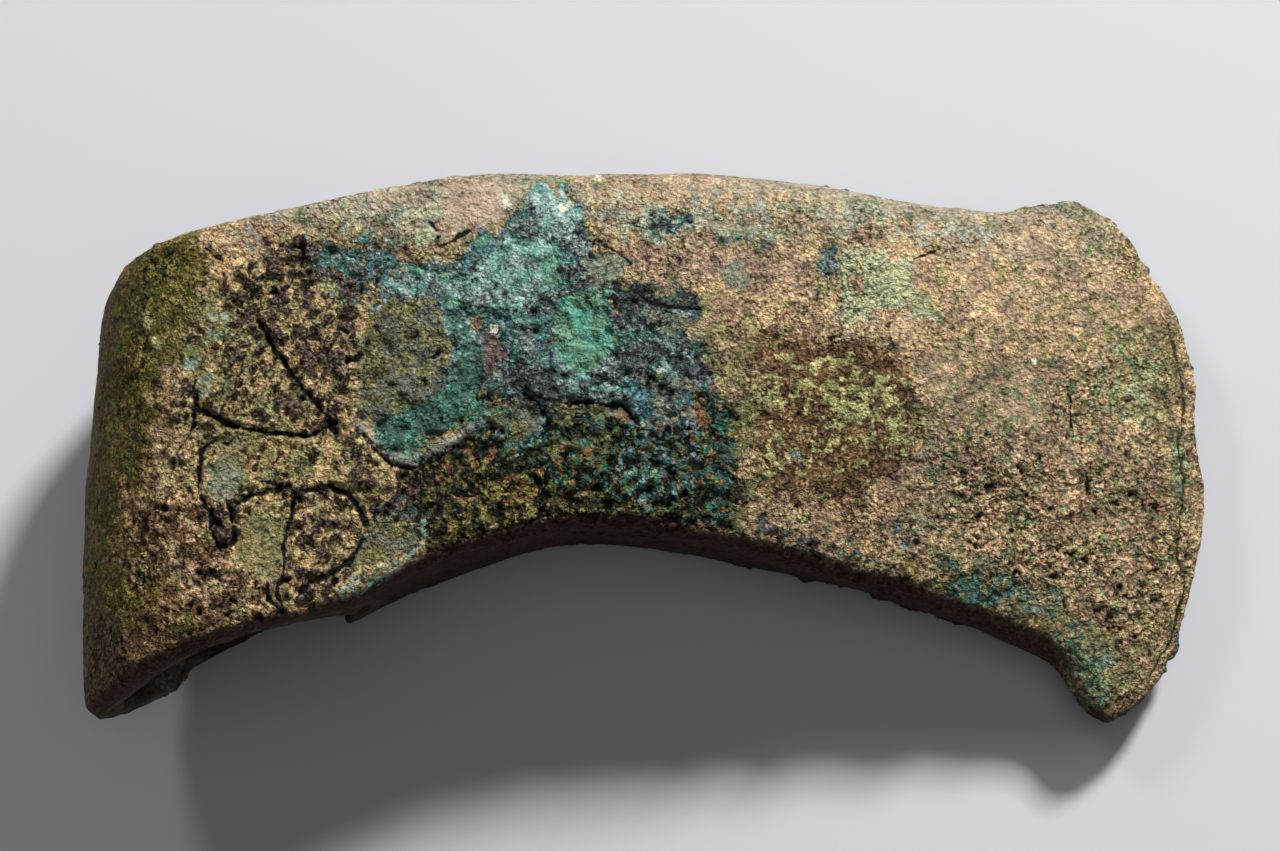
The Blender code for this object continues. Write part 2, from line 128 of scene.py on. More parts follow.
# Corners are x and y in turn, in pixels on the photograph. These patches of each kind are whole.
WHOLE_PATCHES = {
    "pale_back": [[225, 238, 330, 222, 400, 236, 470, 226, 560, 205, 640, 232, 760, 240, 860, 236, 960, 262,
         1080, 300, 1120, 260, 1070, 170, 960, 180, 640, 140, 300, 170]],
    # The brown end is the poll's own brown, made darker as well: painted shade where the end turns away
    # from the light
    "brown_end": [[60, 240, 130, 240, 195, 232, 215, 262, 205, 310, 182, 345, 166, 380, 158, 430, 146, 490,
         156, 550, 204, 600, 270, 640, 110, 760, 40, 740]],
    "peach": [[212, 262, 300, 240, 372, 285, 356, 340, 352, 420, 400, 468, 430, 500, 415, 540, 350, 580,
         300, 622, 262, 600, 236, 560, 190, 520, 160, 480, 176, 430, 172, 370, 190, 318]],
    "umber": [[748, 350, 800, 336, 870, 336, 912, 362, 922, 420, 904, 474, 850, 500, 790, 492, 760, 470,
         752, 410],
        [84, 610, 150, 622, 236, 652, 190, 690, 110, 730, 76, 700]],
    "dusky": [[900, 340, 1000, 352, 1060, 368, 1080, 430, 1010, 470, 960, 540, 900, 540, 880, 500,
         916, 430]],
    # The dark moss is a dark green-black patina, made darker towards the lower edge: painted shade where
    # the belly turns away from the light
    "moss": [[404, 470, 450, 440, 486, 418, 490, 392, 560, 396, 640, 424, 700, 418, 736, 400, 748, 436,
         735, 470, 746, 500, 738, 528, 700, 534, 640, 526, 560, 520, 480, 532, 430, 556, 412, 520]],
    "slate": [[372, 300, 384, 278, 412, 268, 440, 262, 462, 244, 476, 230, 492, 232, 510, 222, 522, 206,
         534, 186, 548, 196, 560, 185, 572, 196, 571, 214, 586, 228, 592, 244, 584, 262, 566, 268, 556, 300,
         554, 350, 575, 370, 600, 371, 614, 358, 632, 342, 655, 330, 690, 336, 704, 352, 708, 382, 702, 404,
         668, 420, 630, 434, 602, 404, 545, 402, 500, 396, 484, 380, 478, 350, 462, 320, 430, 303,
         398, 302],
        [540, 240, 590, 240, 604, 262, 600, 290, 620, 330, 604, 376, 552, 376, 546, 300],
        [372, 304, 440, 292, 480, 320, 488, 396, 440, 436, 384, 440, 362, 404],
        [636, 217, 662, 212, 689, 214, 682, 226, 656, 235, 640, 232],
        [716, 229, 742, 231, 768, 237, 762, 246, 738, 243, 720, 240],
        [820, 243, 838, 241, 842, 256, 836, 273, 822, 274],
        [596, 318, 650, 322, 700, 345, 690, 380, 620, 386, 598, 370]],
    "teal": [[520, 234, 545, 229, 560, 238, 568, 262, 562, 288, 548, 302, 530, 306, 505, 300, 486, 306,
         458, 300, 446, 288, 476, 262, 502, 250],
        [446, 312, 470, 310, 480, 330, 477, 354, 456, 358, 447, 342],
        [537, 190, 562, 190, 570, 208, 582, 228, 562, 233, 541, 222]],
    "soot": [[500, 352, 520, 366, 560, 374, 606, 376, 622, 352, 660, 336, 700, 344, 708, 372, 696, 398,
         640, 402, 600, 398, 560, 404, 520, 392, 500, 396],
        [602, 282, 640, 278, 664, 290, 702, 300, 702, 312, 660, 314, 640, 324, 622, 340, 608, 320]],
    "stone": [[640, 310, 672, 308, 692, 326, 676, 334, 650, 322],
        [580, 256, 604, 251, 626, 262, 620, 280, 604, 290, 584, 282],
        [208, 468, 226, 452, 240, 458, 242, 478, 234, 500, 218, 504, 206, 488]],
    # The tan patches are the crust's tan made brighter along the upper edge: painted light where the lamps
    # fall near the edge
    "tan": [[780, 236, 850, 222, 960, 232, 1060, 216, 1110, 250, 1150, 320, 1120, 350, 1040, 318, 960, 322,
         905, 330, 850, 334, 800, 300],
        [560, 176, 700, 178, 800, 200, 790, 226, 700, 216, 600, 206]],
    "russet": [[640, 240, 700, 232, 770, 240, 812, 262, 800, 300, 760, 300, 700, 292, 650, 290, 628, 264]],
    "olive": [[484, 408, 506, 398, 530, 404, 545, 420, 540, 436, 512, 432, 490, 424],
        [366, 522, 396, 512, 421, 521, 424, 540, 408, 556, 386, 565, 366, 560, 352, 572, 346, 560,
         356, 540],
        [366, 318, 392, 302, 420, 298, 440, 304, 448, 320, 451, 345, 450, 366, 440, 388, 415, 407, 385, 420,
         366, 424, 356, 408, 358, 384, 351, 372, 356, 350, 362, 330]],
    "sage": [[424, 224, 434, 238, 429, 249, 418, 252, 414, 243]],
    "sage_dull": [[240, 520, 262, 512, 285, 516, 286, 548, 280, 576, 256, 580, 238, 560]],
    "olive_moss": [[128, 282, 160, 262, 200, 268, 203, 300, 194, 332, 176, 352, 150, 362, 132, 350,
         124, 320]],
    "viridian": [[450, 376, 476, 364, 483, 390, 482, 412, 460, 428, 436, 444, 412, 460, 392, 450, 374, 430,
         366, 420, 386, 418, 414, 406, 438, 390]],
    "malachite": [[556, 298, 575, 291, 600, 289, 612, 293, 603, 310, 607, 325, 620, 334, 629, 341, 614, 348,
         607, 358, 602, 366, 588, 371, 572, 366, 560, 366, 553, 350, 556, 320],
        [540, 262, 556, 252, 564, 268, 560, 286, 546, 290]],
    "azure": [[622, 384, 632, 379, 646, 392, 650, 412, 645, 430, 636, 420, 633, 404]],
    "rust": [[612, 413, 622, 408, 636, 416, 634, 423, 620, 424],
        [694, 394, 702, 392, 706, 408, 706, 424, 699, 426, 695, 410]],
    "auburn": [[140, 480, 200, 500, 230, 560, 290, 600, 270, 640, 180, 640, 130, 560],
        [960, 480, 1060, 450, 1150, 480, 1176, 560, 1130, 640, 1060, 600, 970, 560]],
    "plum": [[484, 334, 498, 330, 504, 350, 502, 374, 488, 376, 480, 358]],
    "mauve": [[445, 186, 500, 179, 505, 204, 507, 221, 490, 223, 470, 226, 455, 223, 442, 216]],
}

# These are broken into flakes: kind, size of the flakes in mm, share of them that is left, and corners
FLAKED_PATCHES = [
    ("slate", 1.6, 0.75, [300, 244, 330, 238, 355, 246, 384, 236, 392, 262, 378, 292, 356, 300, 330, 290,
        312, 276]),
    ("slate", 1.5, 0.62, [606, 283, 640, 282, 665, 290, 704, 304, 700, 324, 668, 322, 640, 316, 612, 305]),
    ("slate", 1.3, 0.5, [640, 400, 700, 402, 702, 440, 690, 500, 640, 505, 610, 470]),
    ("slate", 1.0, 0.6, [486, 398, 545, 396, 544, 440, 520, 456, 492, 440]),
    ("teal", 1.2, 0.45, [384, 262, 400, 262, 449, 262, 452, 308, 410, 306, 382, 308]),
    ("soot", 1.2, 0.7, [366, 502, 400, 496, 418, 512, 410, 530, 384, 532, 364, 520]),
    ("soot", 1.3, 0.5, [560, 268, 584, 262, 600, 290, 584, 300, 562, 292]),
    ("teal", 1.0, 0.35, [640, 326, 700, 330, 704, 372, 650, 376]),
    ("teal", 1.0, 0.55, [560, 372, 640, 375, 640, 400, 566, 396]),
    ("veil", 2.2, 0.6, [590, 196, 690, 196, 790, 206, 780, 232, 690, 240, 604, 236]),
    ("veil", 2.0, 0.5, [330, 212, 436, 196, 446, 214, 420, 232, 352, 240]),
    ("veil", 2.6, 0.5, [820, 206, 960, 222, 1010, 240, 930, 246, 830, 236]),
    ("slate", 1.2, 0.36, [944, 566, 1008, 572, 1012, 616, 980, 616, 950, 596]),
    ("viridian", 1.4, 0.3, [1018, 592, 1062, 594, 1060, 618, 1026, 616]),
    ("teal", 1.0, 0.45, [1070, 655, 1110, 655, 1116, 712, 1090, 712]),
    ("stone", 1.5, 0.6, [623, 372, 698, 374, 700, 412, 660, 418, 628, 402]),
    ("sage", 3.0, 0.86, [846, 250, 866, 238, 900, 246, 914, 262, 910, 284, 922, 302, 940, 318, 914, 322,
        884, 314, 862, 322, 838, 338, 826, 330, 846, 304, 838, 276]),
    ("sage_dull", 1.6, 0.7, [738, 390, 754, 394, 757, 432, 754, 470, 750, 500, 740, 504, 736, 450]),
    ("sage_dull", 1.5, 0.6, [205, 420, 270, 436, 300, 470, 288, 490, 250, 500, 232, 450]),
    ("sage_dull", 2.0, 0.5, [702, 292, 732, 290, 760, 300, 784, 332, 780, 352, 745, 352, 735, 392, 712, 380,
        703, 340]),
    ("sage_dull", 1.6, 0.6, [546, 408, 600, 404, 614, 420, 612, 456, 588, 464, 556, 454]),
    ("sage_dull", 1.3, 0.45, [1112, 325, 1160, 330, 1150, 425, 1105, 415]),
    ("sage_dull", 2.0, 0.68, [1084, 640, 1156, 620, 1150, 680, 1120, 712, 1092, 712]),
    ("viridian", 1.4, 0.7, [440, 296, 454, 308, 480, 334, 486, 380, 470, 384, 450, 378, 452, 340]),
    ("viridian", 1.2, 0.5, [702, 395, 732, 400, 734, 440, 730, 480, 732, 524, 708, 520, 704, 470]),
    ("lime", 1.9, 0.62, [745, 374, 776, 372, 782, 400, 768, 414, 752, 400]),
    ("lime", 1.7, 0.52, [772, 356, 800, 350, 858, 354, 866, 376, 840, 388, 800, 386]),
    ("lime", 1.9, 0.6, [822, 392, 870, 386, 878, 402, 864, 430, 846, 442, 826, 424]),
    ("lime", 1.7, 0.5, [874, 370, 904, 376, 910, 400, 886, 406]),
    ("lime", 1.5, 0.4, [880, 408, 908, 404, 914, 446, 888, 448]),
    ("lime", 1.8, 0.6, [756, 436, 780, 434, 786, 470, 764, 476]),
    ("lime", 0.9, 0.2, [746, 376, 905, 372, 906, 460, 840, 480, 764, 470]),
    ("rust", 1.1, 0.1, [640, 420, 735, 420, 735, 520, 640, 515]),
    ("rust", 1.2, 0.1, [490, 430, 600, 440, 600, 500, 470, 510, 430, 480, 400, 470]),
    ("olive_moss", 1.4, 0.36, [430, 470, 480, 436, 600, 430, 740, 430, 740, 524, 600, 520, 480, 530,
        430, 552]),
    ("viridian", 0.9, 0.24, [480, 404, 560, 410, 640, 420, 740, 430, 736, 526, 640, 516, 560, 480,
        480, 440]),
    ("fern", 1.2, 0.34, [770, 500, 880, 540, 900, 590, 800, 545]),
    ("soot", 1.2, 0.38, [750, 516, 880, 562, 920, 590, 900, 600, 840, 572, 750, 540]),
    ("olive_moss", 1.5, 0.6, [900, 560, 980, 566, 1010, 596, 1064, 640, 1040, 652, 980, 618, 900, 590]),
    ("viridian", 1.3, 0.5, [936, 560, 1010, 575, 1024, 620, 980, 612, 945, 592]),
    ("stone", 1.5, 0.62, [1022, 588, 1062, 592, 1062, 620, 1030, 622]),
    ("sage_dull", 1.8, 0.74, [1040, 606, 1100, 620, 1130, 660, 1110, 706, 1076, 670]),
    ("fern", 1.5, 0.72, [1056, 640, 1086, 646, 1108, 700, 1098, 716, 1080, 696]),
    ("sage_dull", 1.1, 0.14, [930, 262, 1060, 240, 1160, 330, 1190, 480, 1160, 640, 1060, 600, 900, 540,
        900, 400]),
    ("fern", 1.1, 0.12, [930, 380, 1160, 330, 1190, 480, 1160, 640, 1040, 600, 900, 540]),
    ("sage_dull", 1.7, 0.66, [1140, 310, 1176, 330, 1186, 400, 1160, 430, 1134, 380]),
    ("sage", 1.3, 0.4, [1100, 320, 1165, 330, 1162, 430, 1105, 420]),
    ("russet", 1.6, 0.42, [1040, 440, 1120, 430, 1160, 540, 1130, 600, 1060, 580, 1020, 510]),
    ("viridian", 1.2, 0.36, [1048, 622, 1100, 640, 1112, 706, 1090, 714, 1058, 664]),
    ("fern", 1.5, 0.62, [1166, 430, 1192, 440, 1196, 520, 1172, 520]),
    ("sage_dull", 1.2, 0.45, [1070, 206, 1100, 206, 1150, 270, 1130, 280, 1080, 236]),
    ("sage_dull", 1.2, 0.38, [185, 300, 250, 300, 300, 380, 330, 430, 300, 460, 230, 470, 190, 440]),
    ("umber", 2.2, 0.55, [140, 480, 200, 500, 230, 560, 290, 600, 270, 640, 180, 640, 130, 560]),
]

# Round spots: kind, centre, half width and half height in pixels, and turn in degrees
SPOTS = [
    ("aqua", 215, 335, 11, 9, 0), ("aqua", 222, 318, 10, 5, 0), ("teal", 191, 362, 7, 7, 0),
    ("aqua", 204, 386, 8, 12, 10), ("aqua", 250, 246, 6, 4, 20), ("lime", 147, 322, 4, 10, -10),
    ("lime", 154, 342, 4, 9, -25), ("lime", 327, 286, 11, 7, 0), ("chalk", 563, 207, 6, 4, 20),
    ("chalk", 571, 203, 3, 2, 0), ("chalk", 598, 178, 5, 2.5, 20), ("chalk", 504, 202, 4, 8, -10),
    ("malachite", 417, 270, 11, 5, 20), ("malachite", 446, 278, 5, 8, 0),
    ("malachite", 483, 238, 8, 5, -20), ("malachite", 454, 303, 10, 4, 0), ("malachite", 484, 318, 3, 9, 0),
    ("chalk", 494, 328, 4, 6, 0), ("aqua", 498, 373, 5, 4, 0), ("rust", 477, 324, 7, 7, 0),
    ("stone", 735, 276, 13, 14, 0), ("aqua", 796, 454, 6, 5, 0), ("sage_dull", 741, 515, 6, 11, 0),
    ("malachite", 508, 448, 4, 8, 0), ("lime", 704, 434, 4, 4, 0), ("chalk", 1034, 362, 3.5, 3.5, 0),
    ("fern", 1017, 393, 8, 5, 20), ("fern", 1073, 337, 5, 4, 0), ("fern", 1123, 522, 6, 6, 0),
    ("azure", 897, 530, 5, 6, 0), ("azure", 903, 546, 6, 4, 0), ("aqua", 1174, 317, 6, 4, -40),
    ("viridian", 700, 350, 8, 6, 30), ("aqua", 672, 345, 9, 5, 30), ("fern", 1096, 390, 3, 14, 4),
    ("fern", 1181, 456, 4, 12, 8), ("fern", 1176, 486, 5, 14, 6),
]

# Lines of each kind: half width in pixels, depth in mm (a negative depth stands proud), and points
LINES = {
    "crack": [(2.4, 0.55, [257, 320, 272, 344, 286, 366, 299, 384]),
        (2.0, 0.4, [299, 384, 318, 404, 336, 432]),
        (2.2, 0.45, [192, 396, 200, 410, 230, 425, 262, 432, 308, 436, 334, 424]),
        (1.5, 0.3, [195, 380, 196, 402, 194, 424, 180, 448, 170, 468]),
        (2.0, 0.45, [203, 450, 198, 470, 199, 492, 208, 508, 216, 522, 226, 528]),
        (1.8, 0.4, [200, 452, 214, 440, 228, 444]),
        (1.8, 0.4, [210, 508, 210, 528, 220, 548, 232, 544, 236, 534]),
        (1.8, 0.4, [228, 502, 232, 520, 236, 540]),
        (2.0, 0.45, [234, 504, 252, 495, 282, 488]),
        (1.6, 0.4, [296, 494, 290, 520, 284, 545, 283, 575]),
        (1.6, 0.35, [263, 482, 290, 486, 300, 500]),
        (2.4, 0.45, [300, 492, 330, 486, 356, 500, 366, 524]),
        (2.4, 0.45, [362, 540, 352, 560, 330, 572, 310, 582, 300, 592]),
        (1.8, 0.4, [267, 583, 268, 598, 282, 612, 276, 584, 290, 578]),
        (1.6, 0.35, [250, 298, 258, 290, 272, 294, 290, 286, 300, 270, 306, 248]),
        (1.4, 0.3, [280, 246, 304, 248]),
        (1.4, 0.3, [205, 248, 216, 256, 222, 260]),
        (1.4, 0.25, [208, 570, 216, 576, 226, 574]),
        (1.8, 0.35, [424, 358, 434, 358, 438, 352]),
        # This crack is the dark edge left of the raised olive plate: painted shadow beside it
        (2.4, 0.5, [350, 362, 360, 354]),
        # This crack runs just below the raised pale rim: painted shadow under it
        (1.2, 0.25, [358, 430, 374, 446, 394, 466, 412, 468, 432, 463, 452, 450, 480, 437, 492, 427]),
        (1.8, 0.35, [506, 398, 522, 392, 538, 404, 548, 424, 542, 440]),
        (1.6, 0.3, [530, 396, 552, 400, 600, 404, 622, 404, 640, 424]),
        # This crack runs down the left edge of the raised olive plate: painted shadow beside it
        (1.8, 0.3, [340, 330, 352, 336, 356, 350]),
        (1.5, 0.25, [430, 222, 440, 232, 436, 246, 454, 240, 470, 230]),
        (1.6, 0.3, [614, 282, 630, 286, 646, 300, 668, 308, 700, 308]),
        (1.4, 0.25, [596, 238, 614, 250, 632, 264]),
        (1.4, 0.2, [914, 258, 930, 252, 940, 248]),
        (1.2, 0.15, [1066, 378, 1070, 400, 1073, 436]),
        (1.3, 0.2, [1086, 466, 1088, 492]),
        (1.2, 0.15, [1114, 399, 1134, 400])],
    "crevice": [(1.2, 0.22, [1168, 322, 1180, 372, 1186, 410, 1177, 446, 1184, 478, 1181, 520, 1178, 550,
         1186, 584, 1172, 640, 1150, 676])],
    "rim_line": [(3.4, -0.34, [358, 424, 376, 442, 394, 458, 410, 460, 428, 454, 448, 442, 476, 428,
         488, 416])],
    "scale_line": [(3.2, -0.2, [184, 432, 172, 452, 164, 472, 160, 500])],
    "aqua_line": [(2.0, -0.15, [424, 522, 424, 540, 410, 556, 388, 566, 354, 578, 342, 592]),
        (1.6, -0.12, [619, 459, 628, 472, 640, 480, 650, 478, 658, 466]),
        (1.3, -0.1, [600, 400, 622, 399, 636, 408, 644, 424]),
        (1.4, -0.1, [544, 420, 540, 440, 524, 452, 506, 460]),
        (2.4, -0.1, [342, 596, 360, 590, 380, 578, 398, 566])],
}

# Where the dark nodules crowd together: share of them, and corners
NODULE_ZONES = [
    (1.0, [236, 250, 300, 240, 366, 262, 366, 330, 352, 400, 330, 436, 262, 430, 236, 380, 226, 300]),
    (0.55, [170, 300, 380, 300, 380, 470, 430, 500, 400, 560, 300, 610, 250, 590, 180, 500, 150, 400]),
    (0.8, [296, 496, 352, 492, 366, 540, 330, 566, 292, 560]),
    (0.75, [380, 466, 440, 462, 440, 520, 420, 560, 372, 500]),
]

# Where the crust is pocked with small craters, in the same way
CRATER_ZONES = [
    (0.75, [960, 420, 1060, 410, 1140, 440, 1176, 500, 1170, 600, 1130, 660, 1040, 620, 960, 560,
        900, 500]),
    (0.35, [900, 300, 1160, 300, 1180, 450, 1000, 450, 800, 540, 740, 500, 880, 470]),
    (0.6, [100, 560, 200, 560, 270, 600, 230, 650, 110, 720]),
]

# Where the crust is finer and flatter than elsewhere, in the same way
CALM_ZONES = [
    (0.55, [880, 200, 1060, 210, 1150, 280, 1166, 340, 1110, 350, 1060, 390, 960, 380, 900, 330, 870, 250]),
    (0.62, [930, 335, 1020, 350, 1050, 380, 1040, 420, 960, 430, 925, 380]),
    (0.5, [180, 235, 430, 175, 640, 165, 860, 180, 1000, 205, 980, 225, 850, 215, 640, 200, 440, 215,
        250, 250]),
    (0.6, [410, 190, 515, 185, 505, 232, 440, 246, 405, 225]),
    (0.45, [84, 262, 130, 262, 120, 420, 130, 560, 90, 600, 78, 420]),
    (0.45, [700, 236, 800, 230, 820, 300, 740, 320, 700, 290]),
]

# For each kind: how far its border wanders and how ragged it is, in pixels, how high it stands off
# the crust, in mm, and how rough a crumb it has against the plain crust
KINDS = {
    "pale_back": (14, 14, 0, 0.8), "brown_end": (12, 12, 0, 0.9), "peach": (8, 9, 0, 1.05),
    "umber": (12, 13, 0, 0.9), "dusky": (18, 20, 0, 0.9), "auburn": (20, 22, 0, 1.5),
    "moss": (9, 12, 0, 1.5), "slate": (8, 8, 0.16, 0.85), "teal": (7, 8, 0.04, 0.5),
    "stone": (3, 4, 0.12, 0.35), "sage": (5, 5, 0.06, 0.7), "sage_dull": (5, 7, 0.05, 0.6),
    "olive_moss": (8, 9, 0, 0.7), "olive": (3, 3, 0.18, 0.6), "viridian": (4, 8, 0.1, 0.4),
    "fern": (4, 8, 0.08, 0.8), "malachite": (3, 4, -0.08, 0.25), "lime": (3, 3, 0.16, 0.6),
    "veil": (9, 10, 0.02, 0.8), "tan": (14, 16, 0, 0.9), "russet": (9, 12, 0, 0.9),
    "soot": (6, 9, 0.14, 0.9), "azure": (3, 4, 0.04, 0.5), "rust": (2, 3, -0.05, 0.6),
    "plum": (4, 6, 0, 0.6), "mauve": (3, 3, 0.04, 0.25), "chalk": (1.5, 1.5, 0.08, 0.5),
    "aqua": (2, 3, 0.14, 0.5),
}
# The roughest crumb of a patch that counts as smooth
SMOOTH_CRUMB = 0.7

# The side that the photograph hides: size in mm and least level of the noise that each kind fills
HIDDEN_PATCHES = {
    "umber": (20, 0.05), "peach": (24, 0.15), "olive_moss": (15, 0.22), "slate": (12, 0.34),
    "teal": (8, 0.5), "sage_dull": (8, 0.36), "viridian": (6, 0.48), "lime": (3, 0.62),
}

# The shaft hole's axis, and its half width and half height at the lower mouth
HOLE_FOOT = (-0.05075, -0.03454, 0.01744)
HOLE_AXIS = (0.07990, 0.99645, 0.02662)
HOLE_HALF_WIDTH = 14.2 * MM
HOLE_HALF_HEIGHT = 12.0 * MM

# The broken rim of the far socket wall: corners on the photograph, and how high it reaches
BREAK_CORNERS = [104, 700, 128, 672, 160, 660, 200, 655, 200, 690, 140, 730]
BREAK_TOP = 13 * MM

# Dark, middle and light tones of each kind of patina and its second colour, as display colours
TONES = {
    "crust": ((52, 38, 26), (164, 138, 101), (240, 206, 154), (136, 116, 90)),
    "pale_back": ((82, 69, 54), (142, 131, 108), (202, 184, 150), (128, 125, 108)),
    # The tan is the crust's tan made brighter: painted light near the upper edge
    "tan": ((86, 62, 42), (178, 150, 114), (230, 202, 154), (146, 128, 102)),
    "russet": ((44, 30, 22), (162, 136, 110), (222, 186, 142), (128, 110, 94)),
    # The brown end's tones are darker than its own brown: painted shade at the end turned from the light
    "brown_end": ((12, 8, 0), (94, 76, 32), (172, 142, 78), (80, 78, 26)),
    "auburn": ((38, 25, 16), (174, 140, 104), (248, 214, 168), (134, 116, 86)),
    "peach": ((60, 44, 28), (174, 144, 99), (236, 208, 154), (132, 124, 84)),
    "umber": ((20, 11, 5), (94, 70, 44), (172, 140, 96), (76, 56, 34)),
    "dusky": ((44, 33, 25), (138, 117, 93), (208, 182, 144), (114, 102, 84)),
    # The dark moss tones are its own dark green-black, darkened further: painted shade along the lower
    # belly
    "moss": ((0, 1, 0), (26, 27, 15), (138, 130, 82), (16, 28, 20)),
    "slate": ((13, 15, 18), (84, 95, 98), (166, 182, 183), (56, 104, 98)),
    "soot": ((5, 5, 7), (50, 53, 55), (118, 123, 126), (58, 70, 64)),
    "teal": ((40, 54, 53), (130, 154, 147), (186, 208, 199), (92, 136, 124)),
    "veil": ((92, 92, 72), (146, 150, 124), (200, 204, 174), (130, 146, 130)),
    "stone": ((50, 58, 46), (108, 114, 94), (164, 168, 144), (92, 104, 88)),
    "sage": ((72, 80, 50), (152, 160, 120), (210, 216, 170), (124, 134, 108)),
    "sage_dull": ((32, 34, 14), (104, 102, 60), (170, 168, 112), (88, 94, 62)),
    "olive_moss": ((12, 11, 1), (100, 92, 43), (188, 172, 98), (72, 72, 28)),
    "olive": ((26, 26, 10), (96, 94, 56), (164, 158, 106), (84, 86, 78)),
    "viridian": ((3, 18, 14), (30, 82, 66), (110, 168, 140), (54, 68, 60)),
    "fern": ((13, 25, 13), (76, 102, 72), (160, 182, 138), (90, 94, 64)),
    "malachite": ((26, 62, 52), (68, 124, 104), (132, 184, 160), (90, 118, 90)),
    "lime": ((66, 62, 30), (154, 150, 98), (216, 212, 152), (112, 112, 72)),
    "azure": ((18, 32, 48), (60, 88, 110), (122, 154, 164), (82, 130, 124)),
    "rust": ((52, 30, 16), (126, 86, 50), (196, 148, 100), (104, 76, 48)),
    "plum": ((18, 13, 16), (74, 60, 60), (132, 114, 108), (96, 76, 66)),
    "mauve": ((108, 90, 74), (150, 130, 112), (186, 168, 146), (138, 120, 102)),
    "chalk": ((130, 132, 108), (192, 190, 168), (230, 226, 208), (176, 180, 158)),
    "aqua": ((38, 56, 52), (96, 122, 110), (160, 182, 164), (112, 110, 78)),
}
# Where a ramp's three tones lie on the level of the crust. That level follows the relief, so the dark and
# light tones are partly painted shade and light.
RAMP_PLACES = (0.08, 0.5, 0.92)

# Patina kinds from the lowest to the topmost: how soft the border is, how much of what lies below the
# patch hides, and how frayed its border is, the first and last in pixels
ORDER = [
    ("pale_back", 9, 1, 22), ("tan", 12, 0.8, 34), ("russet", 9, 0.8, 30), ("brown_end", 9, 1, 26),
    ("peach", 5, 1, 24), ("dusky", 14, 0.75, 36), ("auburn", 16, 0.7, 40), ("umber", 6, 0.95, 30),
    ("moss", 6, 1, 32), ("olive_moss", 4, 0.85, 16), ("slate", 1.6, 0.92, 14), ("soot", 1.8, 0.92, 14),
    ("veil", 3, 0.55, 16), ("teal", 2.8, 0.85, 16), ("stone", 1.6, 0.85, 12), ("sage", 2.4, 0.8, 16),
    ("sage_dull", 3.0, 0.7, 16), ("plum", 3, 0.9, 14), ("olive", 1.6, 0.92, 14),
    ("viridian", 2.4, 0.85, 14), ("malachite", 1.4, 0.95, 10), ("fern", 3.0, 0.75, 14),
    ("mauve", 1.4, 0.85, 12), ("lime", 1.2, 0.9, 9), ("azure", 1.6, 0.8, 14), ("rust", 1.6, 0.75, 10),
    ("chalk", 1.0, 1, 8), ("aqua", 1.6, 0.8, 20),
]

# Tones of the nodules and of special places, and the shades laid over the plain crust
NODULE_TONES = ((6, 4, 3), (50, 37, 31), (126, 108, 96))
PLACE_TONES = {
    # The underside's tones are painted shade, on the side that faces away from the key lamp
    "under": ((16, 8, 6), (52, 31, 24), (106, 78, 64)),
    # The shaft hole's tones are painted shade inside the hole
    "hole": ((14, 11, 8), (56, 46, 34), (98, 84, 62)),
    "broken": ((24, 18, 16), (84, 72, 68), (136, 124, 118)),
}
DUSK_SHADE = (212, 202, 216)
CLUMP_SHADE = (196, 226, 190)
STAIN_SHADE = (150, 196, 186)
# Tones of the lines: colour, how frayed they are, where they start and are full, and how much they hide
LINE_TONES = {
    # The cracks' near-black is painted shade in their grooves
    "crack": ((12, 10, 9), 4, -0.6, 0.8, 1.0),
    "crevice": ((58, 54, 36), 4, -0.6, 0.8, 1.0),
    "rim_line": ((122, 130, 126), 16, -1.0, 1.6, 0.6),
    "scale_line": ((168, 156, 116), 16, -1.0, 1.6, 0.6),
    "aqua_line": ((132, 176, 158), 16, -1.0, 1.6, 0.6),
}

# Noises of the material: size in mm, detail, roughness and seed
GRAIN_NOISES = {
    "fine": (0.42, 4, 0.7, 1.0), "medium": (1.4, 3, 0.6, 2.0), "broad": (6.0, 2, 0.6, 3.0),
    "edge": (0.8, 3, 0.7, 4.0), "mottle": (2.3, 3, 0.65, 5.0), "fold": (0.95, 3, 0.6, 6.0),
    "clumps": (1.7, 3, 0.65, 8.0), "dusk": (5.0, 3, 0.6, 9.0),
}
# How much each part of the grain adds to the tone from a start, and to the bump in mm. In the tone the
# grains' random tint is their own colour, while the domes, folds and fine noise follow the bump: painted
# shade in its gaps and creases and painted light on its tops.
GRAIN_START = -0.91
GRAIN_TINT_AND_SHADE = {"fine": 1.3, "dome": 0.11, "small_dome": 0.05, "fold": 0.07, "grains": 0.4}
BUMP_HEIGHTS = {
    "dome": 0.24, "small_dome": 0.075, "tint": 0.045, "small_tint": 0.03, "fine": 0.85, "medium": 1.3,
    "fold": 0.07, "pits": 0.20,
}


def ease(value, low, high):
    """Smooth step of an array from 0 at low to 1 at high."""
    share = np.clip((value - low) / (high - low), 0, 1)
    return share * share * (3 - 2 * share)


def lattice_code(cells, seed):
    """A repeatable random whole number for each cell of a cubic lattice, mixed with large primes."""
    code = cells[:, 0] * 73856093 ^ cells[:, 1] * 19349663 ^ cells[:, 2] * 83492791
    code = (code + seed * 668265263) & WORD
    for shift, prime in ((15, 2246822519), (13, 3266489917)):
        code = ((code ^ (code >> shift)) * prime) & WORD
    return code ^ (code >> 16)


def ten_bits(code, place):
    """The first, second or third ten bits of a code, a number from 0 to TEN_BITS."""
    return code >> 10 * place & TEN_BITS


